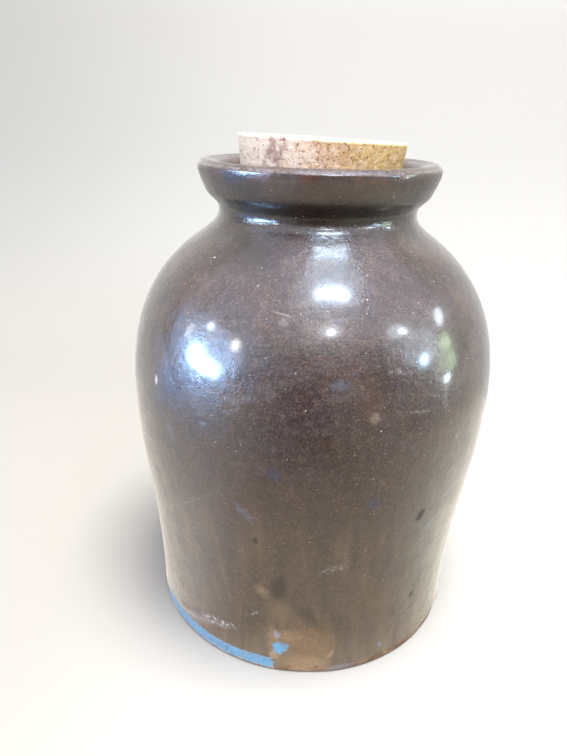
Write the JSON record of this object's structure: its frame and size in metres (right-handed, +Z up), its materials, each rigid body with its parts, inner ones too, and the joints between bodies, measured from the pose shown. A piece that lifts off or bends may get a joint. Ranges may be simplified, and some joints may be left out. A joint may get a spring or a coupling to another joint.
{
  "type": "stoneware canning jar",
  "caption": "Brown-glazed stoneware canning jar with a full belly, round shoulder, grooved neck, flared collar and a tapered cork stopper pressed into its mouth.",
  "frame": {"origin": "centre of the round foot, on the surface the jar stands on", "axes": "+Z up along the jar's axis; -Y is the front that the picture shows; +X is the side that the stopper leans to"},
  "size_m": [0.1552, 0.1552, 0.209],
  "materials": {
    "glaze": "glossy dark brown slip glaze with scuffs, pits, an ochre patch by the foot and a little blue paint",
    "cork": "dull pressed granules of light tan cork with dark specks"
  },
  "bodies": {
    "root": {"jar": "glaze", "cork": "cork"}
  },
  "joints": []
}
